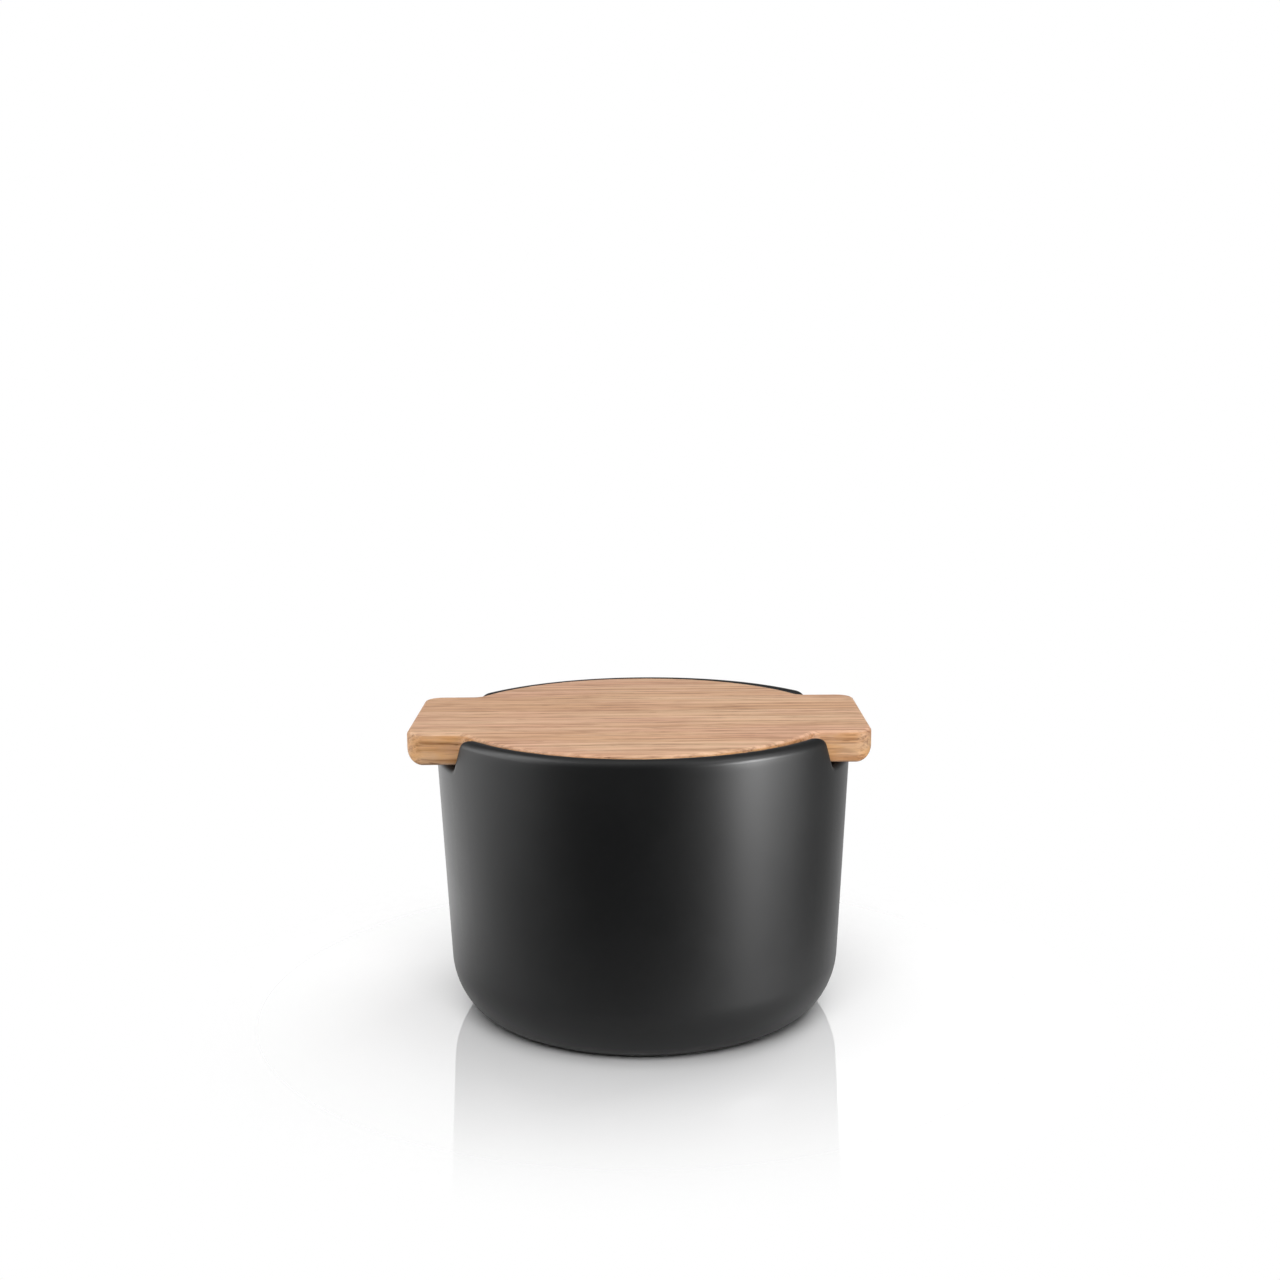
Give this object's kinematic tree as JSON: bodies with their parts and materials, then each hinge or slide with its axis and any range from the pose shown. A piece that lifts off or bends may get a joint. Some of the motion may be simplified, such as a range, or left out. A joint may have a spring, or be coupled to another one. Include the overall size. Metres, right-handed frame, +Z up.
{
  "type": "sugar bowl",
  "caption": "Matt black stoneware sugar bowl with rounded base; a flat oak lid rests inside the mouth, its two ears passing through notches in the rim.",
  "frame": {"origin": "on the bowl's axis, in the plane of the foot ring that it stands on", "axes": "+Z up out of the mouth, +X along the lid's long direction, through both ears and both rim notches"},
  "size_m": [0.1076, 0.0998, 0.0716],
  "materials": {
    "stoneware": "matt black glaze",
    "oak": "solid oak, oiled"
  },
  "bodies": {
    "bowl": {"bowl": "stoneware"},
    "lid": {"lid": "oak"}
  },
  "joints": [
    {"name": "lid_lift", "type": "slide", "parent": "bowl", "child": "lid", "axis": [0, 0, 1], "range_m": [0, 0.08]}
  ]
}
